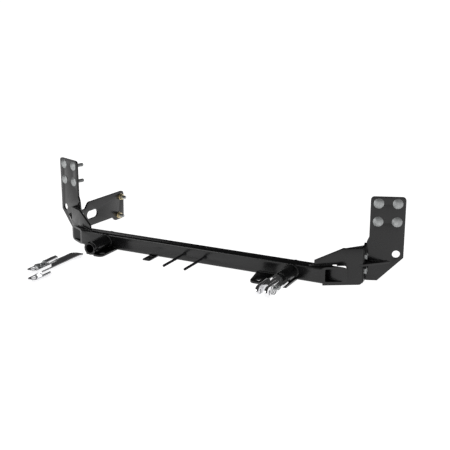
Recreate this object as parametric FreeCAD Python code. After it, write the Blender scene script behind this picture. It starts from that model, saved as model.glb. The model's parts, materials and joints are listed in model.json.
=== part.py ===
import FreeCAD, Part
import math
import os

# A removable-arm tow-bar base plate, in millimetres.
# Working frame: X across the vehicle, Y towards the rear, Z up, with y = 0 on the crossbar's front
# face, z = 0 on its underside and x = 0 on the mid-plane. The right side is at +X. Every solid is
# written out relative to the point midway between the two rail bolt patterns.

V = FreeCAD.Vector
X_AXIS = V(1, 0, 0)
Y_AXIS = V(0, 1, 0)
Z_AXIS = V(0, 0, 1)

# Crossbar: rectangular tube with mitred ends
BAR_DEPTH = 38.1
BAR_HEIGHT = 50.8
BAR_WALL = 6.35
BAR_CORNER_R = 9.5
BAR_END_FRONT_X = 412.0
MITRE = math.radians(30)

# Plates
PLATE_T = 6.35

# Wing plates, parallel to the mitre, notched round the tube
WING_X = 455.0
WING_Y = 49.0
WING_TOP_Z = 97.0
WING_BOTTOM_Z = -12.0
WING_OUTER_X = 509.0
WING_CORNER_R = 9.0
WING_INNER_TOP = (388.0, 65.3)
WING_INNER_BOTTOM_X = 409.7
WING_WINDOW_X = 468.5
WING_WINDOW_STEP_X = 444.5
WING_WINDOW_TOP_Z = 46.5
TAB_NOTCH = 7.5
TAB_TOP_Z = 50.0

# Flange plates that bolt to the vehicle's frame rails
FLANGE_X = 558.1
FLANGE_Y = 139.6
FLANGE_TURN = math.radians(20.64)
FLANGE_TOP_Z = 242.0
FLANGE_BOTTOM_Z = -10.0
FLANGE_HALF_WIDTH = 50.0
FLANGE_CORNER_R = 10.0
FLANGE_HOLE = (28.5, 71.7)
FLANGE_HOLE_R = 11.5
RAIL_BOLT_Z = 195.3
RAIL_BOLT_PITCH = 54.0
RAIL_BOLT_HOLE_R = 6.5

# Side-arm plates that run rearward beside the rails
ARM_PLATE_X = 505.7
ARM_PLATE_Y = 117.0
ARM_PLATE_TOE_IN = math.radians(4.4)
ARM_PLATE_TOP_Z = 95.3
ARM_PLATE_REAR_Y = 355.0
ARM_SLOT_Y = 179.0
ARM_SLOT_Z = 49.0
ARM_SLOT_LENGTH = 57.0
ARM_SLOT_HEIGHT = 28.0
ARM_REAR_BOLTS = ((336.0, 76.0), (322.0, 11.4))
ARM_FRONT_BOLTS = ((101.5, 69.5), (101.5, 26.5))

# Fasteners
DOME_R = 14.8
DOME_H = 5.5
BOLT_R = 6.0
RAIL_BOLT_LENGTH = 40.0
HEX_FLATS = 18.0
HEX_HEAD_H = 7.5
NUT_H = 8.5
WASHER_R = 11.0
WASHER_H = 2.0
SIDE_BOLT_PROUD = 13.0
SIDE_BOLT_TIP_R = 5.8
FRONT_STUD_X = 35.5
FRONT_STUD_Z = 22.9
FRONT_STUD_R = 4.0
FRONT_STUD_ROOT_R = 5.0
FRONT_STUD_REACH = 121.0

# Receivers
RECEIVER_X = 321.0
RECEIVER_Z = 25.4
RECEIVER_R = 20.3
RECEIVER_MOUTH_Y = -88.0
RECEIVER_REAR_Y = 44.0
RUNNING_GAP = 0.06
LOCK_ANGLE = 0.0
OPEN_ANGLE = 90.0
RECESS_DEPTH = 7.0
RECESS_FLOOR_R = 16.2
RECESS_MARGIN = 17.0
LOCK_HOLE_DEPTH = 20.0
CUTAWAY_DEPTH = 36.0
CUTAWAY_FROM = -75.0
CUTAWAY_TO = -8.0

# Safety-chain plates, in front of the crossbar's lower half
SAFETY_Z = 2.65
SAFETY_HOLE_R = 9.0

# Twist-lock arms, each measured along its own axis from the fork's tips
FORK_BAR_R = 14.0
FORK_LENGTH = 240.0
THROAT = 39.0
TINE_LENGTH = 82.0
TINE_T = 9.5
TINE_WIDTH = 34.0
TINE_HALF_GAP = 9.0
PIN_HOLE_R = 6.5
BEVEL_LENGTH = 43.0
BEVEL_STOP = 2.2
HOUSING_R = 7.5
HOUSING_OFFSET = 21.55
HOUSING_LENGTH = 56.0
HOUSING_REAR = 121.0
HOUSING_BORE_R = 5.6
GUIDE_LENGTH = 14.0
CAP_LENGTH = 5.0
NOSE_R = 4.5
NOSE_REACH = 6.5
COLLAR_R = 5.2
COLLAR_T = 2.0
ROD_R = 2.5
ROD_REACH = 14.0
RING_R = 12.0
RING_WIRE_R = 1.5
SPRING_R = 3.9
SPRING_WIRE_R = 0.6
SPRING_TURNS = 8
LEFT_TIPS_Y = -382.0
RIGHT_TIPS_Y = -209.5

ORIGIN = V(0, FLANGE_Y, RAIL_BOLT_Z)


def rounded_wire(points):
    """Closed outline through (u, v) or (u, v, radius) corners, drawn in the XY plane."""
    corners = [V(p[0], p[1], 0) for p in points]
    radii = [p[2] if len(p) > 2 else 0.0 for p in points]
    count = len(points)
    starts = []
    ends = []
    middles = []
    for i in range(count):
        here = corners[i]
        before = (corners[i - 1] - here).normalize()
        after = (corners[(i + 1) % count] - here).normalize()
        half = before.getAngle(after) / 2
        back = radii[i] / math.tan(half)
        bisector = before + after
        starts.append(here + before * back)
        ends.append(here + after * back)
        if radii[i] > 0:
            bisector.normalize()
            middles.append(here + bisector * (radii[i] / math.sin(half) - radii[i]))
        else:
            middles.append(None)
    edges = []
    for i in range(count):
        if middles[i] is not None:
            edges.append(Part.Arc(starts[i], middles[i], ends[i]).toShape())
        following = starts[(i + 1) % count]
        if ends[i].distanceToPoint(following) > 1e-6:
            edges.append(Part.LineSegment(ends[i], following).toShape())
    return Part.Wire(edges)


def plate(points, origin, u_dir, v_dir, thickness):
    """Plate whose front outline lies in the plane (u_dir, v_dir) and which is thick behind it."""
    normal = u_dir.cross(v_dir)
    solid = Part.Face(rounded_wire(points)).extrude(V(0, 0, -thickness))
    solid.Placement = FreeCAD.Placement(origin, FreeCAD.Rotation(u_dir, v_dir, normal, "ZXY"))
    return solid


def rod(radius, start, end):
    """Round bar between two points."""
    return Part.makeCylinder(radius, start.distanceToPoint(end), start, end - start)


def hex_prism(flats, start, axis, height):
    """Hexagonal prism on start, standing along axis, with its corners chamfered at the far end."""
    corners = [V(flats / math.sqrt(3), 0, 0)]
    for i in range(1, 6):
        turn = FreeCAD.Rotation(Z_AXIS, 60 * i)
        corners.append(turn.multVec(corners[0]))
    prism = Part.Face(Part.makePolygon(corners + [corners[0]])).extrude(V(0, 0, height))
    cone_r = flats / 2 + height
    cone = Part.makeCone(cone_r + flats * 0.04, flats * 0.54, cone_r - flats * 0.5)
    cone.translate(V(0, 0, height - cone_r + flats * 0.5))
    prism = prism.common(cone)
    prism.Placement = FreeCAD.Placement(start, FreeCAD.Rotation(Z_AXIS, axis))
    return prism


def sector(radius_in, radius_out, start_angle, end_angle, y_from, y_to):
    """Ring sector about the Y axis; angles run from +X towards +Z."""
    sweep = end_angle - start_angle
    profile = Part.makePlane(radius_out - radius_in, y_to - y_from, V(radius_in, y_from, 0), Z_AXIS)
    solid = profile.revolve(V(0, 0, 0), V(0, -1, 0), sweep)
    solid.rotate(V(0, 0, 0), V(0, -1, 0), start_angle)
    return solid


def mirrored(shape):
    return shape.mirror(V(0, 0, 0), X_AXIS)


def moved(shape, offset):
    copy = shape.copy()
    copy.translate(offset)
    return copy


def across_plate(turn):
    """Across direction of a right-hand plate turned back by an angle."""
    return V(math.cos(turn), math.sin(turn), 0)


def bar_section(inset, corner_r):
    return rounded_wire([
        (inset, inset, corner_r),
        (BAR_DEPTH - inset, inset, corner_r),
        (BAR_DEPTH - inset, BAR_HEIGHT - inset, corner_r),
        (inset, BAR_HEIGHT - inset, corner_r),
    ])


def crossbar_tube():
    half = BAR_END_FRONT_X + BAR_DEPTH / math.tan(MITRE) + 5
    outer = Part.Face(bar_section(0, BAR_CORNER_R)).extrude(V(0, 0, 2 * half))
    inner = Part.Face(bar_section(BAR_WALL, BAR_CORNER_R - BAR_WALL)).extrude(V(0, 0, 2 * half))
    tube = outer.cut(inner)
    tube.Placement = FreeCAD.Placement(V(-half, 0, 0), FreeCAD.Rotation(Y_AXIS, Z_AXIS, X_AXIS, "ZXY"))
    across = across_plate(MITRE)
    mitre = plate([(-100, -50), (200, -50), (200, 150), (-100, 150)],
                  V(BAR_END_FRONT_X, 0, 0), across, Z_AXIS, -200)
    tube = tube.cut(mitre).cut(mirrored(mitre))
    for side in (-1, 1):
        x = side * RECEIVER_X
        tube = tube.cut(rod(RECEIVER_R, V(x, -5, RECEIVER_Z), V(x, BAR_DEPTH + 5, RECEIVER_Z)))
        x = side * FRONT_STUD_X
        tube = tube.cut(rod(FRONT_STUD_ROOT_R, V(x, -5, FRONT_STUD_Z), V(x, BAR_WALL + 1, FRONT_STUD_Z)))
    return tube


def wing_plate():
    def u(x):
        return (x - WING_X) / math.cos(MITRE)
    outline = [
        (u(WING_INNER_TOP[0]), WING_INNER_TOP[1]),
        (u(WING_INNER_TOP[0]), BAR_HEIGHT),
        (u(WING_WINDOW_STEP_X), BAR_HEIGHT),
        (u(WING_WINDOW_STEP_X), WING_WINDOW_TOP_Z),
        (u(WING_WINDOW_X), WING_WINDOW_TOP_Z, 6.0),
        (u(WING_WINDOW_X), 0.0),
        (u(WING_INNER_BOTTOM_X), 0.0),
        (u(WING_INNER_BOTTOM_X), WING_BOTTOM_Z),
        (u(WING_OUTER_X), WING_BOTTOM_Z, WING_CORNER_R),
        (u(WING_OUTER_X), TAB_TOP_Z - PLATE_T),
        (u(WING_OUTER_X - TAB_NOTCH), TAB_TOP_Z - PLATE_T),
        (u(WING_OUTER_X - TAB_NOTCH), TAB_TOP_Z),
        (u(WING_OUTER_X), TAB_TOP_Z),
        (u(WING_OUTER_X), WING_TOP_Z, 2.0),
        (0.0, WING_TOP_Z, 8.0),
    ]
    return plate(outline, V(WING_X, WING_Y, 0), across_plate(MITRE), Z_AXIS, PLATE_T)


def wing_point(x, depth):
    """Point on the wing plate, depth behind its front face, where its front face is at x."""
    front = V(x, WING_Y + math.tan(MITRE) * (x - WING_X), 0)
    return front + V(-math.sin(MITRE), math.cos(MITRE), 0) * depth


def arm_plate_point(y, z, depth):
    """Point on the side-arm plate at a distance y rearward, depth inboard of its outer face."""
    x = ARM_PLATE_X - math.tan(ARM_PLATE_TOE_IN) * (y - ARM_PLATE_Y)
    return V(x, y, z) - V(math.cos(ARM_PLATE_TOE_IN), math.sin(ARM_PLATE_TOE_IN), 0) * depth


def flange_point(u, z, depth):
    """Point on the rail flange plate, depth behind its front face."""
    across = across_plate(FLANGE_TURN)
    back = V(-math.sin(FLANGE_TURN), math.cos(FLANGE_TURN), 0)
    return V(FLANGE_X, FLANGE_Y, z) + across * u + back * depth


def horizontal_plate(corners, top_z):
    outline = [(c.x, c.y) for c in corners]
    return plate(outline, V(0, 0, top_z), X_AXIS, Y_AXIS, PLATE_T)


def top_gusset():
    behind = wing_point(WING_X, PLATE_T)
    corner = wing_point(WING_OUTER_X - PLATE_T - 0.8, PLATE_T)
    rear = arm_plate_point(ARM_PLATE_Y, 0, PLATE_T)
    return horizontal_plate([behind, corner, rear], WING_TOP_Z)


def mid_gusset():
    corners = [
        wing_point(WING_OUTER_X, 0),
        wing_point(WING_OUTER_X - TAB_NOTCH, 0),
        wing_point(WING_OUTER_X - TAB_NOTCH, PLATE_T),
        wing_point(WING_OUTER_X + 2.2, PLATE_T),
        arm_plate_point(ARM_PLATE_Y + 2.0, 0, 0),
        flange_point(13.0, 0, 0),
    ]
    return horizontal_plate(corners, TAB_TOP_Z)


def rail_bolt_places():
    half = RAIL_BOLT_PITCH / 2
    return [(u, RAIL_BOLT_Z + dz) for u in (-half, half) for dz in (-half, half)]


def rail_flange_plate():
    w = FLANGE_HALF_WIDTH
    outline = [
        (-w, FLANGE_TOP_Z, FLANGE_CORNER_R),
        (-w, 122.0, 4.0),
        (-w - 6.5, 107.0, 4.0),
        (-w - 6.5, FLANGE_BOTTOM_Z, 3.0),
        (-22.7, FLANGE_BOTTOM_Z, 4.0),
        (w, 61.5, 4.0),
        (w, FLANGE_TOP_Z, FLANGE_CORNER_R),
    ]
    flange = plate(outline, V(FLANGE_X, FLANGE_Y, 0), across_plate(FLANGE_TURN), Z_AXIS, PLATE_T)
    flange = flange.cut(rod(FLANGE_HOLE_R, flange_point(*FLANGE_HOLE, -5), flange_point(*FLANGE_HOLE, 15)))
    for u, z in rail_bolt_places():
        flange = flange.cut(rod(RAIL_BOLT_HOLE_R, flange_point(u, z, -5), flange_point(u, z, 15)))
    return flange.cut(arm_plate_blank())


def arm_plate_outline(corners):
    """Side-arm outline corners given as (y, z, radius), measured along the plate itself."""
    stretch = 1 / math.cos(ARM_PLATE_TOE_IN)
    return [((c[0] - ARM_PLATE_Y) * stretch,) + tuple(c[1:]) for c in corners]


def arm_plate_solid(corners, proud):
    rearward = V(-math.sin(ARM_PLATE_TOE_IN), math.cos(ARM_PLATE_TOE_IN), 0)
    start = arm_plate_point(ARM_PLATE_Y, 0, -proud)
    return plate(arm_plate_outline(corners), start, rearward, Z_AXIS, PLATE_T + 2 * proud)


def arm_plate_blank():
    """The side-arm plate before its front edge is trimmed to the wing plate."""
    top = ARM_PLATE_TOP_Z
    return arm_plate_solid([
        (70.0, -9.5),
        (128.0, -9.5, 10.0),
        (150.0, 0.0, 12.0),
        (168.0, 10.0, 12.0),
        (289.0, 9.3, 14.0),
        (303.0, -4.5, 12.0),
        (ARM_PLATE_REAR_Y - 3, -4.5, 14.0),
        (ARM_PLATE_REAR_Y, top, 12.0),
        (160.0, top, 14.0),
        (143.0, 75.0, 10.0),
        (124.0, 75.0, 7.0),
        (122.0, 104.0, 1.0),
        (117.5, 104.0, 2.0),
        (110.0, 97.0, 4.0),
        (70.0, 97.0),
    ], 0.0)


def side_arm_plate():
    arm = arm_plate_blank()
    slot_r = ARM_SLOT_HEIGHT / 2 - 0.01
    front = ARM_SLOT_Y - ARM_SLOT_LENGTH / 2
    rear = ARM_SLOT_Y + ARM_SLOT_LENGTH / 2
    low = ARM_SLOT_Z - ARM_SLOT_HEIGHT / 2
    high = ARM_SLOT_Z + ARM_SLOT_HEIGHT / 2
    slot = [(front, low, slot_r), (rear, low, slot_r), (rear, high, slot_r), (front, high, slot_r)]
    arm = arm.cut(arm_plate_solid(slot, 2.0))
    for y, z in ARM_FRONT_BOLTS + ARM_REAR_BOLTS:
        arm = arm.cut(rod(BOLT_R + 0.5, arm_plate_point(y, z, -5), arm_plate_point(y, z, 15)))
    in_front = plate([(-200, -100), (200, -100), (200, 300), (-200, 300)],
                     wing_point(WING_X, PLATE_T), across_plate(MITRE), Z_AXIS, -100)
    return arm.cut(in_front)


def carriage_bolts():
    solids = []
    for u, z in rail_bolt_places():
        face = flange_point(u, z, 0)
        outward = face - flange_point(u, z, 1)
        sphere_r = (DOME_R ** 2 + DOME_H ** 2) / (2 * DOME_H)
        dome = Part.makeSphere(sphere_r, face - outward * (sphere_r - DOME_H))
        head = dome.common(Part.makeCylinder(DOME_R, DOME_H + 1, face, outward))
        neck = rod(RAIL_BOLT_HOLE_R, face, flange_point(u, z, PLATE_T))
        shank = rod(BOLT_R, flange_point(u, z, PLATE_T), flange_point(u, z, RAIL_BOLT_LENGTH))
        solids.append(head.fuse([neck, shank]))
    return Part.makeCompound(solids)


def side_arm_bolts(places):
    solids = []
    nut_top = PLATE_T + WASHER_H + NUT_H
    for y, z in places:
        face = arm_plate_point(y, z, 0)
        outward = face - arm_plate_point(y, z, 1)
        head = hex_prism(HEX_FLATS, face, outward, HEX_HEAD_H)
        shank = rod(BOLT_R, face, arm_plate_point(y, z, nut_top))
        tip = arm_plate_point(y, z, nut_top + SIDE_BOLT_PROUD)
        end = rod(SIDE_BOLT_TIP_R, arm_plate_point(y, z, nut_top), tip)
        solids.append(head.fuse([shank, end]))
    return Part.makeCompound(solids)


def side_arm_washers(places):
    solids = []
    for y, z in places:
        start = arm_plate_point(y, z, PLATE_T)
        end = arm_plate_point(y, z, PLATE_T + WASHER_H)
        solids.append(rod(WASHER_R, start, end).cut(rod(BOLT_R + 0.4, start, end)))
    return Part.makeCompound(solids)


def side_arm_nuts(places):
    solids = []
    for y, z in places:
        start = arm_plate_point(y, z, PLATE_T + WASHER_H)
        end = arm_plate_point(y, z, PLATE_T + WASHER_H + NUT_H)
        nut = hex_prism(HEX_FLATS, start, end - start, NUT_H)
        solids.append(nut.cut(rod(BOLT_R, start, end)))
    return Part.makeCompound(solids)


def receiver_tube(side):
    """Bored receiver with its lock recess on +X; the right one's rim is cut away low outboard."""
    start = V(0, RECEIVER_MOUTH_Y, 0)
    end = V(0, RECEIVER_REAR_Y, 0)
    tube = rod(RECEIVER_R, start, end)
    tube = tube.cut(rod(FORK_BAR_R + RUNNING_GAP, start - Y_AXIS, end + Y_AXIS))
    mouth = RECEIVER_MOUTH_Y
    tube = tube.cut(sector(RECESS_FLOOR_R, RECEIVER_R + 5, LOCK_ANGLE - RECESS_MARGIN,
                           OPEN_ANGLE + RECESS_MARGIN, mouth - 1, mouth + RECESS_DEPTH))
    angle = math.radians(LOCK_ANGLE)
    lock = V(math.cos(angle), 0, math.sin(angle)) * HOUSING_OFFSET
    tube = tube.cut(rod(NOSE_R + 0.5, lock + Y_AXIS * (mouth - 1), lock + Y_AXIS * (mouth + LOCK_HOLE_DEPTH)))
    if side > 0:
        tube = tube.cut(sector(FORK_BAR_R - 2, RECEIVER_R + 5, CUTAWAY_FROM, CUTAWAY_TO,
                               mouth - 1, mouth + CUTAWAY_DEPTH))
    tube.translate(V(side * RECEIVER_X, 0, RECEIVER_Z))
    return tube


def safety_chain_plate(side):
    edge = RECEIVER_X + RECEIVER_R
    if side > 0:
        outline = [
            (213.0, 0.0), (228.0, -88.0, 18.0), (269.0, -88.0, 18.0), (269.0, -15.0, 5.0),
            (301.0, -15.0, 5.0), (301.0, -82.0, 3.0), (edge, -82.0, 3.0), (edge, 0.0),
        ]
        hole = (248.5, -66.0)
    else:
        outline = [
            (-edge, 0.0), (-edge, -81.0, 3.0), (-317.0, -80.0, 8.0), (-306.0, -89.0, 8.0),
            (-277.0, -89.0, 16.0), (-277.0, 0.0),
        ]
        hole = (-289.5, -66.0)
    shape = plate(outline, V(0, 0, SAFETY_Z + PLATE_T), X_AXIS, Y_AXIS, PLATE_T)
    shape = shape.cut(rod(SAFETY_HOLE_R, V(*hole, SAFETY_Z - 1), V(*hole, SAFETY_Z + PLATE_T + 1)))
    x = side * RECEIVER_X
    return shape.cut(rod(RECEIVER_R, V(x, -100, RECEIVER_Z), V(x, 5, RECEIVER_Z)))


def front_studs():
    solids = []
    for side in (-1, 1):
        x = side * FRONT_STUD_X
        front = V(x, -FRONT_STUD_REACH, FRONT_STUD_Z)
        face = V(x, 0, FRONT_STUD_Z)
        stud = rod(FRONT_STUD_R, front, face)
        ends = [e for e in stud.Edges if e.Closed and abs(e.CenterOfMass.y + FRONT_STUD_REACH) < 0.01]
        stud = stud.makeChamfer(0.8, ends)
        solids.append(stud.fuse(rod(FRONT_STUD_ROOT_R, face, V(x, BAR_WALL, FRONT_STUD_Z))))
    return Part.makeCompound(solids)


def plug_bracket_tab():
    outline = [(-163.0, 20.0), (-163.0, -37.0, 5.0), (-136.0, -37.0, 5.0), (-136.0, 20.0)]
    shape = plate(outline, V(0, 0, 0), X_AXIS, Y_AXIS, PLATE_T / 2)
    return shape.cut(rod(4.5, V(-149.5, -24, -10), V(-149.5, -24, 10)))


# The arms are drawn with the tips at y = 0, the bar along +Y and the housing on the +X side.

def arm_bar():
    bar = rod(FORK_BAR_R, V(0, THROAT, 0), V(0, FORK_LENGTH, 0))
    flat_length = TINE_LENGTH - THROAT
    for side in (-1, 1):
        x = TINE_HALF_GAP if side > 0 else -TINE_HALF_GAP - 20
        bar = bar.cut(Part.makeBox(20, flat_length, 60, V(x, THROAT, -30)))
    bevel = [
        (FORK_BAR_R, FORK_LENGTH - BEVEL_LENGTH), (BEVEL_STOP, FORK_LENGTH),
        (BEVEL_STOP, FORK_LENGTH + 10), (FORK_BAR_R + 10, FORK_LENGTH + 10),
        (FORK_BAR_R + 10, FORK_LENGTH - BEVEL_LENGTH),
    ]
    return bar.cut(plate(bevel, V(0, 0, 40), X_AXIS, Y_AXIS, 80))


def fork_tine(side):
    r = TINE_WIDTH / 2 - 0.01
    outline = [
        (0, -TINE_WIDTH / 2, r), (TINE_LENGTH, -TINE_WIDTH / 2, 5.0),
        (TINE_LENGTH, TINE_WIDTH / 2, 5.0), (0, TINE_WIDTH / 2, r),
    ]
    x = TINE_HALF_GAP + TINE_T if side > 0 else -TINE_HALF_GAP
    tine = plate(outline, V(x, 0, 0), Y_AXIS, Z_AXIS, TINE_T)
    tine = tine.cut(rod(PIN_HOLE_R, V(-40, TINE_WIDTH / 2, 0), V(40, TINE_WIDTH / 2, 0)))
    clearance = rod(HOUSING_R, housing_point(-1), housing_point(HOUSING_LENGTH + 1))
    return tine.cut(clearance)


def housing_point(forward):
    """Point on the plunger's axis, a distance in front of the housing's rear face."""
    return V(HOUSING_OFFSET, HOUSING_REAR - forward, 0)


def plunger_housing():
    body = rod(HOUSING_R, housing_point(0), housing_point(HOUSING_LENGTH - CAP_LENGTH))
    body = body.cut(rod(NOSE_R + RUNNING_GAP, housing_point(-1), housing_point(GUIDE_LENGTH + 1)))
    return body.cut(rod(HOUSING_BORE_R, housing_point(GUIDE_LENGTH), housing_point(HOUSING_LENGTH)))


def plunger_cap():
    start = housing_point(HOUSING_LENGTH - CAP_LENGTH)
    end = housing_point(HOUSING_LENGTH)
    disc = rod(HOUSING_R, start, end)
    front = [e for e in disc.Edges if e.Closed and abs(e.CenterOfMass.y - end.y) < 0.01]
    disc = disc.makeChamfer(1.2, front)
    return disc.cut(rod(ROD_R + RUNNING_GAP, start, end))


def plunger_pin():
    collar = GUIDE_LENGTH + 0.4
    nose = rod(NOSE_R, housing_point(-NOSE_REACH), housing_point(collar))
    tip = [e for e in nose.Edges if e.Closed and e.CenterOfMass.y > HOUSING_REAR]
    nose = nose.makeChamfer(1.0, tip)
    stop = rod(COLLAR_R, housing_point(collar), housing_point(collar + COLLAR_T))
    pull = rod(ROD_R, housing_point(collar + COLLAR_T), housing_point(HOUSING_LENGTH + ROD_REACH))
    eye = housing_point(HOUSING_LENGTH + ROD_REACH - 4)
    pin = nose.fuse([stop, pull])
    hole = rod(RING_WIRE_R + 0.15, eye - Z_AXIS * 10, eye + Z_AXIS * 10)
    return pin.cut(hole)


def pull_ring():
    eye = housing_point(HOUSING_LENGTH + ROD_REACH - 4)
    return Part.makeTorus(RING_R, RING_WIRE_R, eye - Y_AXIS * RING_R, X_AXIS)


def plunger_spring():
    start = GUIDE_LENGTH + 0.4 + COLLAR_T + SPRING_WIRE_R
    end = HOUSING_LENGTH - CAP_LENGTH - SPRING_WIRE_R
    length = end - start
    helix = Part.makeHelix(length / SPRING_TURNS, length, SPRING_R)
    circle = Part.Circle(V(SPRING_R, 0, 0), Y_AXIS, SPRING_WIRE_R).toShape()
    coil = Part.Wire(helix).makePipeShell([Part.Wire(circle)], True, True)
    coil.Placement = FreeCAD.Placement(housing_point(start), FreeCAD.Rotation(Z_AXIS, V(0, -1, 0)))
    return coil


def placed_arm_piece(shape, side):
    """Put an arm piece on its receiver's axis: left drawn out with its lock up, right home."""
    angle = OPEN_ANGLE if side < 0 else LOCK_ANGLE
    tips_y = LEFT_TIPS_Y if side < 0 else RIGHT_TIPS_Y
    piece = shape.copy()
    piece.rotate(V(0, 0, 0), V(0, -1, 0), angle)
    piece.translate(V(side * RECEIVER_X, tips_y, RECEIVER_Z))
    return piece


nodes = {
    "crossbar_tube": crossbar_tube(),
    "front_studs": front_studs(),
    "plug_bracket_tab": plug_bracket_tab(),
}

side_pieces = {
    "wing_plate": wing_plate(),
    "top_gusset": top_gusset(),
    "mid_gusset": mid_gusset(),
    "rail_flange_plate": rail_flange_plate(),
    "side_arm_plate": side_arm_plate(),
    "carriage_bolts": carriage_bolts(),
    "side_arm_bolts": side_arm_bolts(ARM_REAR_BOLTS),
    "side_arm_washers": side_arm_washers(ARM_REAR_BOLTS),
    "side_arm_nuts": side_arm_nuts(ARM_REAR_BOLTS),
    "bracket_bolts": side_arm_bolts(ARM_FRONT_BOLTS),
    "bracket_washers": side_arm_washers(ARM_FRONT_BOLTS),
    "bracket_nuts": side_arm_nuts(ARM_FRONT_BOLTS),
}

arm_pieces = {
    "arm_bar": arm_bar(),
    "plunger_tine": fork_tine(1),
    "plain_tine": fork_tine(-1),
    "plunger_housing": plunger_housing(),
    "plunger_cap": plunger_cap(),
    "plunger_pin": plunger_pin(),
    "plunger_spring": plunger_spring(),
    "pull_ring": pull_ring(),
}

for name, shape in side_pieces.items():
    nodes["right_" + name] = shape
    nodes["left_" + name] = mirrored(shape)

for side, word in ((-1, "left_"), (1, "right_")):
    nodes[word + "receiver_tube"] = receiver_tube(side)
    nodes[word + "safety_chain_plate"] = safety_chain_plate(side)
    for name, shape in arm_pieces.items():
        nodes[word + name] = placed_arm_piece(shape, side)

os.makedirs("parts", exist_ok=True)
for name, shape in nodes.items():
    moved(shape, V(0, 0, 0) - ORIGIN).exportStep("parts/" + name + ".step")
    print(name, len(shape.Solids), shape.isValid(), round(shape.Volume))
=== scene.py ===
import json
import math

import bmesh
import bpy
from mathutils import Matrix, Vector


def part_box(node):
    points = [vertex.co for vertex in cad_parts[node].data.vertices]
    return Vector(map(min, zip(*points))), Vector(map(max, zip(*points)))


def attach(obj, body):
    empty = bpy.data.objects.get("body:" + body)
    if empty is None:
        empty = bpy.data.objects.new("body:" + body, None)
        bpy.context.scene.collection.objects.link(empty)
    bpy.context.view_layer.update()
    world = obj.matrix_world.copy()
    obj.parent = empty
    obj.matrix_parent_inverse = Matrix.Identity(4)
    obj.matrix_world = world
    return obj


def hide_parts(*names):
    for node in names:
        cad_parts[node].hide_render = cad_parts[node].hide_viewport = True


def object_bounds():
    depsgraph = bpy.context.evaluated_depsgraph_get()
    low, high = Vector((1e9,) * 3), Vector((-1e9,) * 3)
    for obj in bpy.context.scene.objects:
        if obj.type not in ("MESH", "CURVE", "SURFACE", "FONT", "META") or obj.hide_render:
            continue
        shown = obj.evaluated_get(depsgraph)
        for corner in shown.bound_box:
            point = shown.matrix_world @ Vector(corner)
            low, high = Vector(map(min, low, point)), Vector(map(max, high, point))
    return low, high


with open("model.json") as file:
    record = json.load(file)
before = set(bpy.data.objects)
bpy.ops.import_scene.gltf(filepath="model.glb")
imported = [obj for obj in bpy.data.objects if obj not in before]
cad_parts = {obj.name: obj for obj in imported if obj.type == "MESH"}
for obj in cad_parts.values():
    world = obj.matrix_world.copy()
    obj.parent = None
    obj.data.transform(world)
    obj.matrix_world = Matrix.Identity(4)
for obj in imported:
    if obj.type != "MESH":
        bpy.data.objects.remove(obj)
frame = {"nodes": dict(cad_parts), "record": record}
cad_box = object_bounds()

# Black powder-coated base plate with chrome twist-lock arms. The scene is in metres, in the row
# frame. Places on the part are in millimetres from the crossbar's front face, its underside and the
# mid-plane, and at() turns them into scene points. Weld radii are in millimetres too.

MM = 0.001
Y_AXIS = Vector((0, 1, 0))
Z_AXIS = Vector((0, 0, 1))
BAR_LOW = Vector(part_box("crossbar_tube")[0])
SIDES = (("left", -1), ("right", 1))

# Crossbar, plates and receivers
MITRE = math.radians(30)
PLATE_T = 6.35
BAR_DEPTH = 38.1
BAR_TOP_Z = 50.8
WING_X = 455.0
WING_Y = 49.0
GUSSET_TOP_Z = 97
FLANGE_X = 558.1
FLANGE_Y = 139.6
FLANGE_TURN = math.radians(20.64)
ARM_PLATE_X = 505.7
ARM_PLATE_Y = 117.0
TOE_IN = math.radians(4.4)
TAB_TOP_Z = 50
RECEIVER_X = 321.0
RECEIVER_Z = 25.4
RECEIVER_R = 20.3
SAFETY_TOP_Z = 9

# Fasteners
BOLT_R = 6.0
SIDE_BOLT_R = 5.8
BOLT_PITCH = 1.75
RAIL_BOLT_LENGTH = 40
SIDE_BOLT_LENGTH = 29.85
RAIL_BOLTS = [(u, 195.3 + dz) for u in (-27, 27) for dz in (-27, 27)]
REAR_BOLTS = ((336.0, 76.0), (322.0, 11.4))
FRONT_BOLTS = ((101.5, 69.5), (101.5, 26.5))
STUD_X = 35.5
STUD_Z = 22.9
STUD_R = 4.0
STUD_PITCH = 1.25
STUD_ROOT_Y = 6.3
STUD_LENGTH = 127.3

# Arms: side, y of the fork's tips, and how far the plunger is turned up from +X, in degrees
ARM_PLACES = (("left", -1, -382.0, 90.0), ("right", 1, -209.5, 0.0))
TINE_INNER = 9.0
TINE_OUTER = 18.5
TINE_LENGTH = 82.0
ARM_BAR_R = 14.0

# How wide each kind of node's edges are rounded, in millimetres
SOFT_EDGES = {
    "crossbar_tube": 0.5, "plug_bracket_tab": 0.5, "wing_plate": 0.7, "top_gusset": 0.6,
    "mid_gusset": 0.6, "rail_flange_plate": 0.8, "side_arm_plate": 0.8, "receiver_tube": 0.5,
    "safety_chain_plate": 0.8, "bracket_washers": 0.3, "bracket_nuts": 0.3, "arm_bar": 0.5,
    "plunger_tine": 0.9, "plain_tine": 0.9, "plunger_housing": 0.5, "side_arm_washers": 0.3,
    "side_arm_nuts": 0.3,
}
SAME_POINT = 2e-6
SMOOTH_BELOW = math.radians(32)

# Thread and weld detail
THREAD_DEPTH = 0.56
THREAD_STEPS = 6
THREAD_AROUND = 28
THREAD_CHAMFER = 0.8
THREAD_OVERLAP = 0.4
PLAIN_SHANK = 2
WELD_RIPPLE = 3.2
WELD_STEPS = 5
WELD_AROUND = 10


def at(x, y, z):
    """Scene point from millimetres off the mid-plane, the crossbar's front face and its underside."""
    return Vector((x * MM, BAR_LOW.y + y * MM, BAR_LOW.z + z * MM))


# ---------------------------------------------------------------- materials

def new_material(name):
    material = bpy.data.materials.new(name)
    material.use_nodes = True
    nodes = material.node_tree.nodes
    shader = nodes["Principled BSDF"]
    return material, nodes, material.node_tree.links, shader


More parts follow.
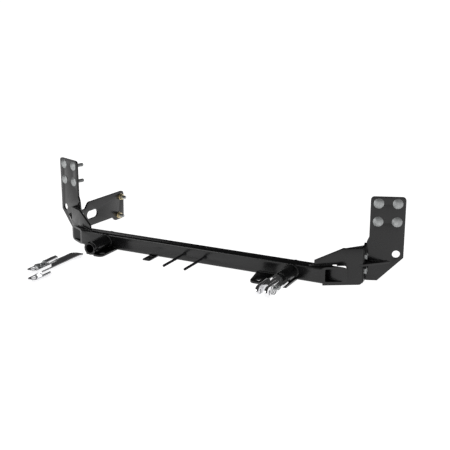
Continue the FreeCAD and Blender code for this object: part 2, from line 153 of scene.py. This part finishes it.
def noise(nodes, links, scale, detail=4.0, roughness=0.55, stretch=(1, 1, 1)):
    coords = nodes.new("ShaderNodeTexCoord")
    mapping = nodes.new("ShaderNodeMapping")
    mapping.inputs["Scale"].default_value = stretch
    texture = nodes.new("ShaderNodeTexNoise")
    texture.inputs["Scale"].default_value = scale
    texture.inputs["Detail"].default_value = detail
    texture.inputs["Roughness"].default_value = roughness
    links.new(coords.outputs["Object"], mapping.inputs["Vector"])
    links.new(mapping.outputs["Vector"], texture.inputs["Vector"])
    return texture.outputs["Fac"]


def ramp(nodes, links, source, low, high, low_at=0.3, high_at=0.7):
    """Colour ramp between two greys or two colours."""
    stops = nodes.new("ShaderNodeValToRGB")
    for stop, place, value in zip(stops.color_ramp.elements, (low_at, high_at), (low, high)):
        stop.position = place
        stop.color = (*value, 1) if isinstance(value, tuple) else (value, value, value, 1)
    links.new(source, stops.inputs["Fac"])
    return stops.outputs["Color"]


def mix_colour(nodes, links, factor, first, second):
    """Mix of a linked colour and a plain one."""
    mix = nodes.new("ShaderNodeMix")
    mix.data_type = "RGBA"
    links.new(factor, mix.inputs["Factor"])
    links.new(first, mix.inputs["A"])
    mix.inputs["B"].default_value = (*second, 1)
    return mix.outputs["Result"]


def bump(nodes, links, target, source, distance, strength):
    """Bump from a height, into a shader or into another bump."""
    node = nodes.new("ShaderNodeBump")
    node.inputs["Distance"].default_value = distance
    node.inputs["Strength"].default_value = strength
    links.new(source, node.inputs["Height"])
    links.new(node.outputs["Normal"], target.inputs["Normal"])
    return node


def edge_highlight_wear_mask(nodes, links, low_at, high_at):
    """Bright on raised edges, as a painted highlight along them and where a coat wears thin."""
    geometry = nodes.new("ShaderNodeNewGeometry")
    return ramp(nodes, links, geometry.outputs["Pointiness"], 0.0, 1.0, low_at, high_at)


def powder_coat():
    """Near-black glossy coat with faint clouds, specks, edges lightened by a painted highlight and by wear,
    and orange peel.
    """
    material, nodes, links, shader = new_material("satin_powder_coat")
    cloud = noise(nodes, links, scale=9.0, detail=5.0)
    colour = ramp(nodes, links, cloud, (0.0035, 0.0035, 0.0038), (0.0075, 0.0075, 0.0080))
    specks = noise(nodes, links, scale=1400.0, detail=2.0)
    speck = ramp(nodes, links, specks, 0.0, 1.0, low_at=0.68, high_at=0.80)
    colour = mix_colour(nodes, links, speck, colour, (0.014, 0.014, 0.0145))
    # Raised edges painted lighter: a painted highlight along the edges, and wear of the coat.
    edges = edge_highlight_wear_mask(nodes, links, low_at=0.54, high_at=0.64)
    colour = mix_colour(nodes, links, edges, colour, (0.012, 0.012, 0.0125))
    links.new(colour, shader.inputs["Base Color"])
    gloss = ramp(nodes, links, noise(nodes, links, scale=26.0), 0.20, 0.30)
    links.new(gloss, shader.inputs["Roughness"])
    shader.inputs["Specular IOR Level"].default_value = 0.42
    peel_height = noise(nodes, links, scale=420.0, detail=2.0)
    peel = bump(nodes, links, shader, peel_height, distance=0.00006, strength=0.3)
    wave_height = noise(nodes, links, scale=45.0, detail=2.0)
    bump(nodes, links, peel, wave_height, distance=0.0003, strength=0.12)
    return material


def chrome():
    """Bright plate with a light haze and fine scratches along the arm."""
    material, nodes, links, shader = new_material("bright_chrome")
    shader.inputs["Metallic"].default_value = 1.0
    haze = noise(nodes, links, scale=22.0, detail=5.0)
    tint = ramp(nodes, links, haze, (0.72, 0.72, 0.73), (0.84, 0.84, 0.85))
    links.new(tint, shader.inputs["Base Color"])
    gloss = ramp(nodes, links, noise(nodes, links, scale=70.0), 0.07, 0.18)
    links.new(gloss, shader.inputs["Roughness"])
    scratches = noise(nodes, links, scale=260.0, roughness=0.6, stretch=(1.0, 0.06, 1.0))
    bump(nodes, links, shader, scratches, distance=0.00006, strength=0.35)
    return material


def zinc(name, low, high, rough_low, rough_high):
    """Blotchy plated or oxide-coated metal, lighter on its edges from a painted highlight and from wear."""
    material, nodes, links, shader = new_material(name)
    shader.inputs["Metallic"].default_value = 1.0
    blotch = noise(nodes, links, scale=120.0, detail=6.0, roughness=0.65)
    colour = ramp(nodes, links, blotch, low, high, low_at=0.35, high_at=0.65)
    # Raised edges painted lighter: a painted highlight along the edges, and wear of the plating.
    edges = edge_highlight_wear_mask(nodes, links, low_at=0.52, high_at=0.60)
    lit_and_worn_edge_colour = tuple(min(1.0, c * 1.25) for c in high)
    colour = mix_colour(nodes, links, edges, colour, lit_and_worn_edge_colour)
    links.new(colour, shader.inputs["Base Color"])
    grain = noise(nodes, links, scale=300.0, detail=3.0)
    links.new(ramp(nodes, links, grain, rough_low, rough_high), shader.inputs["Roughness"])
    bump(nodes, links, shader, grain, distance=0.00008, strength=0.4)
    return material


def floor_paper():
    """White paper that glows, so that the floor stays white under the part."""
    material, nodes, links, shader = new_material("floor_paper")
    cloud = noise(nodes, links, scale=0.6, detail=2.0)
    links.new(ramp(nodes, links, cloud, (0.86, 0.86, 0.86), (0.88, 0.88, 0.88)), shader.inputs["Base Color"])
    shader.inputs["Roughness"].default_value = 0.9
    shader.inputs["Specular IOR Level"].default_value = 0.1
    shader.inputs["Emission Color"].default_value = (1, 1, 1, 1)
    shader.inputs["Emission Strength"].default_value = 1.0
    return material


MATERIALS = {
    "powder_coat": powder_coat(),
    "chrome": chrome(),
    "bright_zinc": zinc("bright_zinc", (0.30, 0.31, 0.31), (0.42, 0.43, 0.43), 0.48, 0.62),
    "yellow_zinc": zinc("yellow_zinc", (0.58, 0.49, 0.30), (0.80, 0.72, 0.52), 0.40, 0.55),
    "black_oxide": zinc("black_oxide", (0.010, 0.010, 0.011), (0.035, 0.035, 0.037), 0.38, 0.52),
    "spring_steel": zinc("spring_steel", (0.20, 0.20, 0.21), (0.34, 0.34, 0.35), 0.30, 0.45),
}

SLOT_OF = {part["node"]: part["material_slot"] for part in frame["record"]["subparts"]}
BODY_OF = {}
for body_name, node_names in frame["record"]["behaviour"]["bodies"].items():
    for node_name in node_names:
        BODY_OF[node_name] = body_name


# ---------------------------------------------------------------- pieces

def add_piece(name, mesh, body, slot):
    """Put a finished mesh into the scene, riding on a body."""
    mesh.materials.clear()
    mesh.materials.append(MATERIALS[slot])
    piece = bpy.data.objects.new(name, mesh)
    bpy.context.scene.collection.objects.link(piece)
    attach(piece, body)
    return piece


def add_replacement(name, mesh, node):
    """Put a finished mesh into the scene in place of a CAD node."""
    piece = add_piece(name, mesh, BODY_OF[node], SLOT_OF[node])
    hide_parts(node)


def shade_smooth(shape):
    """Smooth shading that still breaks at real corners."""
    for face in shape.faces:
        face.smooth = True
    for edge in shape.edges:
        edge.smooth = edge.calc_face_angle(0) < SMOOTH_BELOW


def softened(node, width, angle=30, segments=2):
    """The node's own shape with its sharp edges rounded over, in place of the node."""
    mesh = frame["nodes"][node].data.copy()
    mesh.name = node + "_rounded"
    shape = bmesh.new()
    shape.from_mesh(mesh)
    bmesh.ops.remove_doubles(shape, verts=shape.verts, dist=SAME_POINT)
    bmesh.ops.dissolve_limit(shape, angle_limit=math.radians(1.0), verts=shape.verts, edges=shape.edges)
    sharp = [e for e in shape.edges if e.is_manifold and e.calc_face_angle(0) > math.radians(angle)]
    bmesh.ops.bevel(shape, geom=sharp, offset=width, offset_type="OFFSET", segments=segments,
                    profile=0.5, affect="EDGES", clamp_overlap=True)
    bmesh.ops.triangulate(shape, faces=[f for f in shape.faces if len(f.verts) > 4])
    shade_smooth(shape)
    shape.to_mesh(mesh)
    shape.free()
    add_replacement(node + "_rounded", mesh, node)


def ring_mesh(name, rings, closed_loop=False):
    """Skin over a list of rings of points, with flat ends unless it closes on itself."""
    shape = bmesh.new()
    loops = [[shape.verts.new(p) for p in ring] for ring in rings]
    count = len(rings[0])
    pairs = list(zip(loops, loops[1:]))
    if closed_loop:
        pairs.append((loops[-1], loops[0]))
    for first, second in pairs:
        for i in range(count):
            j = (i + 1) % count
            shape.faces.new((first[i], first[j], second[j], second[i])).smooth = True
    if not closed_loop:
        shape.faces.new(loops[0])
        shape.faces.new(loops[-1])
    bmesh.ops.recalc_face_normals(shape, faces=shape.faces)
    mesh = bpy.data.meshes.new(name)
    shape.to_mesh(mesh)
    shape.free()
    return mesh


def joined(name, meshes):
    """One mesh from several, which it uses up."""
    shape = bmesh.new()
    for mesh in meshes:
        shape.from_mesh(mesh)
    whole = bpy.data.meshes.new(name)
    shape.to_mesh(whole)
    shape.free()
    for mesh in meshes:
        bpy.data.meshes.remove(mesh)
    return whole


def side_dirs(axis):
    """Two directions square to an axis."""
    other = Z_AXIS if abs(axis.z) < 0.9 else Vector((1, 0, 0))
    first = axis.cross(other).normalized()
    return first, axis.cross(first).normalized()


def circle_points(centre, axis, radius, count=36):
    u, v = side_dirs(axis)
    turns = [math.tau * i / count for i in range(count)]
    return [centre + (u * math.cos(turn) + v * math.sin(turn)) * radius for turn in turns]


# ---------------------------------------------------------------- places on the plates

def flange_face(side, u, z):
    """Point on a rail flange plate's front face."""
    across = Vector((side * math.cos(FLANGE_TURN), math.sin(FLANGE_TURN), 0))
    return at(side * FLANGE_X, FLANGE_Y, z) + across * (u * MM)


def flange_outward(side):
    return Vector((side * math.sin(FLANGE_TURN), -math.cos(FLANGE_TURN), 0))


def arm_face(side, y, z, depth=0.0):
    """Point on a side-arm plate, depth inboard of its outer face."""
    x = ARM_PLATE_X - math.tan(TOE_IN) * (y - ARM_PLATE_Y)
    return at(side * x, y, z) - arm_outward(side) * (depth * MM)


def arm_outward(side):
    return Vector((side * math.cos(TOE_IN), math.sin(TOE_IN), 0))


def wing_face(side, x, z, depth=0.0):
    """Point on a wing plate, depth behind its front face."""
    y = WING_Y + math.tan(MITRE) * (x - WING_X)
    back = Vector((-side * math.sin(MITRE), math.cos(MITRE), 0))
    return at(side * x, y, z) + back * (depth * MM)


# ---------------------------------------------------------------- threaded fasteners

def thread_rings(start, axis, length, radius, pitch, plain=0.0):
    """Rings of a threaded rod: plain shank first, then a single-start thread to a chamfered end."""
    u, v = side_dirs(axis)
    depth = THREAD_DEPTH * pitch
    step = pitch / THREAD_STEPS
    rings = []
    for k in range(int(length / step) + 1):
        along = min(k * step, length)
        limit = radius - max(0.0, along - (length - pitch)) * THREAD_CHAMFER
        ring = []
        for i in range(THREAD_AROUND):
            turn = i / THREAD_AROUND
            phase = (along / pitch - turn) % 1.0
            cut = depth * (1 - abs(2 * phase - 1)) if along > plain else 0.0
            out = u * math.cos(turn * math.tau) + v * math.sin(turn * math.tau)
            ring.append(start + axis * along + out * min(radius - cut, limit))
        rings.append(ring)
    return rings


def head_only(node, through, outward):
    """Copy of a bolt node's mesh, kept on the outward side of a plane square to the bolts."""
    shape = bmesh.new()
    shape.from_mesh(frame["nodes"][node].data)
    bmesh.ops.remove_doubles(shape, verts=shape.verts, dist=SAME_POINT)
    everything = list(shape.verts) + list(shape.edges) + list(shape.faces)
    cut = bmesh.ops.bisect_plane(shape, geom=everything, plane_co=through, plane_no=-outward,
                                 clear_outer=True)
    rims = [e for e in cut["geom_cut"] if isinstance(e, bmesh.types.BMEdge)]
    bmesh.ops.holes_fill(shape, edges=rims, sides=0)
    shade_smooth(shape)
    mesh = bpy.data.meshes.new(node + "_heads")
    shape.to_mesh(mesh)
    shape.free()
    return mesh


def threaded_bolts(node, places, outward, cut_depth, length, radius):
    """Bolts with real threads in place of a node whose shanks are plain."""
    meshes = [head_only(node, places[0] - outward * (cut_depth * MM), outward)]
    thread_from = cut_depth - THREAD_OVERLAP
    for place in places:
        start = place - outward * (thread_from * MM)
        rings = thread_rings(start, -outward, (length - thread_from) * MM, radius * MM,
                             BOLT_PITCH * MM, PLAIN_SHANK * MM)
        meshes.append(ring_mesh("thread", rings))
    add_replacement(node + "_threaded", joined(node + "_threaded", meshes), node)


def threaded_studs():
    meshes = []
    for _, side in SIDES:
        rings = thread_rings(at(side * STUD_X, STUD_ROOT_Y, STUD_Z), -Y_AXIS, STUD_LENGTH * MM,
                             STUD_R * MM, STUD_PITCH * MM)
        meshes.append(ring_mesh("stud", rings))
    add_replacement("front_studs_threaded", joined("front_studs_threaded", meshes), "front_studs")


# ---------------------------------------------------------------- welds

def spread_along(path, count, closed):
    """Evenly spaced points on a path, each with its distance along it."""
    lengths = [0.0]
    for a, b in zip(path, path[1:]):
        lengths.append(lengths[-1] + (b - a).length)
    total = lengths[-1]
    places = []
    for k in range(count + (0 if closed else 1)):
        along = total * k / count
        seg = next(i for i in range(len(lengths) - 1) if along <= lengths[i + 1] + 1e-9)
        share = (along - lengths[seg]) / max(lengths[seg + 1] - lengths[seg], 1e-9)
        places.append((path[seg].lerp(path[seg + 1], share), along))
    return places


def bead_radius(radius, along, total, phase, closed):
    """Radius of a bead: a ripple, a slow unevenness, and ends that taper off."""
    uneven = 1 + 0.06 * math.sin(along * 410.0) + 0.05 * math.sin(along * 977.0 + 1.3)
    r = radius * (0.84 + 0.20 * math.sin(phase * math.pi)) * uneven
    if closed:
        return r
    return r * min(1.0, 0.45 + 0.55 * min(along, total - along) / (1.5 * radius))


def weld_mesh(name, points, radius, closed):
    """Stacked-ripple weld bead along a path of points."""
    path = points + [points[0]] if closed else points
    total = sum((b - a).length for a, b in zip(path, path[1:]))
    ripples = max(3, round(total / (WELD_RIPPLE * MM)))
    places = spread_along(path, ripples * WELD_STEPS, closed)
    rings = []
    for k, (place, along) in enumerate(places):
        after = places[(k + 1) % len(places)][0] if closed or k + 1 < len(places) else place
        before = places[k - 1][0] if closed or k > 0 else place
        phase = (k % WELD_STEPS) / WELD_STEPS
        r = bead_radius(radius, along, total, phase, closed)
        rings.append(circle_points(place, (after - before).normalized(), r, WELD_AROUND))
    return ring_mesh(name, rings, closed)


def weld(name, points, radius, body="base_plate", slot="powder_coat", closed=False):
    add_piece(name, weld_mesh(name, points, radius * MM, closed), body, slot)


def wing_welds(word, side):
    """Beads where a wing plate meets the crossbar's top and underside."""
    ends = [wing_face(side, x, BAR_TOP_Z) for x in (374, 434)]
    weld(word + "_weld_wing_top_front", ends, 3.2)
    ends = [wing_face(side, x, BAR_TOP_Z, PLATE_T) for x in (392, 436)]
    weld(word + "_weld_wing_top_rear", ends, 3.2)
    ends = [wing_face(side, x, 0) for x in (412, 434)]
    weld(word + "_weld_wing_under", ends, 3.0)


def gusset_welds(word, side):
    """Beads along the top gusset and the mid gusset."""
    ends = [wing_face(side, x, GUSSET_TOP_Z, 6.9) for x in (457, 503)]
    weld(word + "_weld_top_gusset_wing", ends, 1.9)
    ends = [arm_face(side, y, GUSSET_TOP_Z, PLATE_T) for y in (86, 113)]
    weld(word + "_weld_top_gusset_arm", ends, 2.2)
    ends = [arm_face(side, y, TAB_TOP_Z) for y in (90, 116)]
    weld(word + "_weld_mid_gusset_arm", ends, 2.6)
    ends = [flange_face(side, u, TAB_TOP_Z) for u in (-48, 8)]
    weld(word + "_weld_mid_gusset_flange", ends, 3.0)
    ends = [flange_face(side, u, 43.6) for u in (-48, 8)]
    weld(word + "_weld_mid_gusset_flange_under", ends, 2.6)


def arm_plate_welds(word, side):
    """Upright beads where the side-arm plate meets the wing and the flange."""
    wing_y = 86.6
    flange_front_y = 119.6
    flange_rear_y = 125.6
    weld(word + "_weld_wing_arm_low", [arm_face(side, wing_y, z) for z in (-7, 40)], 2.8)
    weld(word + "_weld_wing_arm_high", [arm_face(side, wing_y, z) for z in (53, 95)], 2.8)
    weld(word + "_weld_flange_arm_front", [arm_face(side, flange_front_y, z) for z in (4, 41)], 3.0)
    weld(word + "_weld_flange_arm_front_high", [arm_face(side, flange_front_y, z) for z in (53, 100)], 3.0)
    weld(word + "_weld_flange_arm_rear", [arm_face(side, flange_rear_y, z) for z in (4, 74)], 3.0)


def receiver_welds(word, side):
    """Beads round a receiver, on both faces of the crossbar."""
    for end, y, radius in (("front", 0, 3.0), ("rear", BAR_DEPTH, 2.8)):
        circle = circle_points(at(side * RECEIVER_X, y, RECEIVER_Z), Y_AXIS, (RECEIVER_R + 0.5) * MM)
        weld(word + "_weld_receiver_" + end, circle, radius, closed=True)


def crossbar_welds():
    """Beads along the safety-chain plates, the plug tab and the studs."""
    proud = -0.4
    weld("right_weld_safety_top", [at(x, proud, SAFETY_TOP_Z) for x in (218, 296)], 2.8)
    weld("left_weld_safety_top", [at(x, proud, SAFETY_TOP_Z) for x in (-296, -283)], 2.8)
    weld("plug_tab_weld", [at(x, proud, 0.2) for x in (-161, -138)], 2.0)
    for word, side in SIDES:
        circle = circle_points(at(side * STUD_X, -0.2, STUD_Z), Y_AXIS, (STUD_R + 0.4) * MM, 20)
        weld(word + "_stud_weld", circle, 1.3, closed=True)


def arm_welds(word, side, tips_y, angle):
    """Beads between an arm's bar, tines and plunger housing."""
    turn = math.radians(angle)
    away = Vector((math.cos(turn), 0, math.sin(turn)))
    across = Vector((-math.sin(turn), 0, math.cos(turn)))

    def bead(name, places, radius):
        """Places are (out towards the plunger, along from the tips, sideways)."""
        points = []
        for out, along, sideways in places:
            axis_point = at(side * RECEIVER_X, tips_y + along, RECEIVER_Z)
            points.append(axis_point + (away * out + across * sideways) * MM)
        weld(word + "_arm_weld_" + name, points, radius, word + "_arm", "chrome")

    edges = (("a", -1), ("b", 1))
    for k, outward in ((0, 1), (1, -1)):
        inner = (TINE_INNER + 0.6) * outward
        for letter, edge in edges:
            bead("tine_%d_%s" % (k, letter), [(inner, along, edge * 10.9) for along in (80.5, 44.0)], 1.8)
        end_out = inner + 1.8 * outward
        bead("end_%d" % k, [(end_out, TINE_LENGTH + 0.2, s) for s in (-9.0, 9.0)], 2.4)
    for letter, edge in edges:
        bead("saddle_" + letter, [(TINE_OUTER + 0.1, along, edge * 7.0) for along in (66.5, 81.0)], 1.6)
        bead("housing_" + letter, [(ARM_BAR_R + 0.2, along, edge * 3.4) for along in (84.0, 116.0)], 1.7)


# ---------------------------------------------------------------- stage, lights and camera

def look_along(thing, direction):
    thing.rotation_euler = direction.to_track_quat("-Z", "Y").to_euler()


def area_light(name, place, size, power):
    """Disk light aimed at the middle of the part."""
    data = bpy.data.lights.new(name, "AREA")
    data.shape = "DISK"
    data.size = size
    data.energy = power
    lamp = bpy.data.objects.new(name, data)
    lamp.location = place
    bpy.context.scene.collection.objects.link(lamp)
    look_along(lamp, Vector((0, -0.1, -0.1)) - Vector(place))


def white_floor(half, below):
    """Wide sheet just under the part."""
    z = cad_box[0][2] - below
    corners = [(-half, -half, z), (half, -half, z), (half, half, z), (-half, half, z)]
    mesh = bpy.data.meshes.new("floor")
    mesh.from_pydata(corners, [], [(0, 1, 2, 3)])
    mesh.materials.append(floor_paper())
    floor = bpy.data.objects.new("floor", mesh)
    bpy.context.scene.collection.objects.link(floor)


def studio_world():
    """Bright low down and dark above, so that tops reflect dark and upright faces light."""
    world = bpy.data.worlds.new("studio")
    world.use_nodes = True
    nodes = world.node_tree.nodes
    links = world.node_tree.links
    height = nodes.new("ShaderNodeSeparateXYZ")
    links.new(nodes.new("ShaderNodeTexCoord").outputs["Generated"], height.inputs["Vector"])
    sky = ramp(nodes, links, height.outputs["Z"], 0.95, 0.045, low_at=0.07, high_at=0.21)
    links.new(sky, nodes["Background"].inputs["Color"])
    bpy.context.scene.world = world


def add_camera():
    data = bpy.data.cameras.new("camera")
    data.sensor_width = 36.0
    data.lens = 73.68
    data.clip_end = 200.0
    data.shift_x = 0.002
    data.shift_y = 0.0022
    camera = bpy.data.objects.new("camera", data)
    camera.location = at(1291.8, -2330.7, 900.0)
    look_along(camera, -Vector((0.4357, -0.8546, 0.2815)))
    bpy.context.scene.collection.objects.link(camera)
    bpy.context.scene.camera = camera


# ---------------------------------------------------------------- the whole scene

def plain_name(node):
    """A node's name without its side."""
    first, _, rest = node.partition("_")
    return rest if first in ("left", "right") else node


for node in list(frame["nodes"]):
    if plain_name(node) in SOFT_EDGES:
        softened(node, SOFT_EDGES[plain_name(node)] * MM)
    else:
        node_mesh = frame["nodes"][node].data
        node_mesh.materials.clear()
        node_mesh.materials.append(MATERIALS[SLOT_OF[node]])

for word, side in SIDES:
    places = [flange_face(side, u, z) for u, z in RAIL_BOLTS]
    threaded_bolts(word + "_carriage_bolts", places, flange_outward(side), 8, RAIL_BOLT_LENGTH, BOLT_R)
    for kind, spots in (("_side_arm_bolts", REAR_BOLTS), ("_bracket_bolts", FRONT_BOLTS)):
        places = [arm_face(side, y, z) for y, z in spots]
        threaded_bolts(word + kind, places, arm_outward(side), 16, SIDE_BOLT_LENGTH, SIDE_BOLT_R)
threaded_studs()

for word, side in SIDES:
    wing_welds(word, side)
    gusset_welds(word, side)
    arm_plate_welds(word, side)
    receiver_welds(word, side)
crossbar_welds()
for word, side, tips_y, angle in ARM_PLACES:
    arm_welds(word, side, tips_y, angle)

white_floor(half=40.0, below=0.0005)
studio_world()
area_light("key_front_left", (-1.6, -2.6, 1.1), size=1.6, power=26)
area_light("fill_front_right", (2.2, -1.6, 1.5), size=1.8, power=8)
area_light("rim_rear_left", (-2.4, 1.6, 1.8), size=1.2, power=4)
add_camera()
bpy.context.scene.view_settings.view_transform = "Standard"
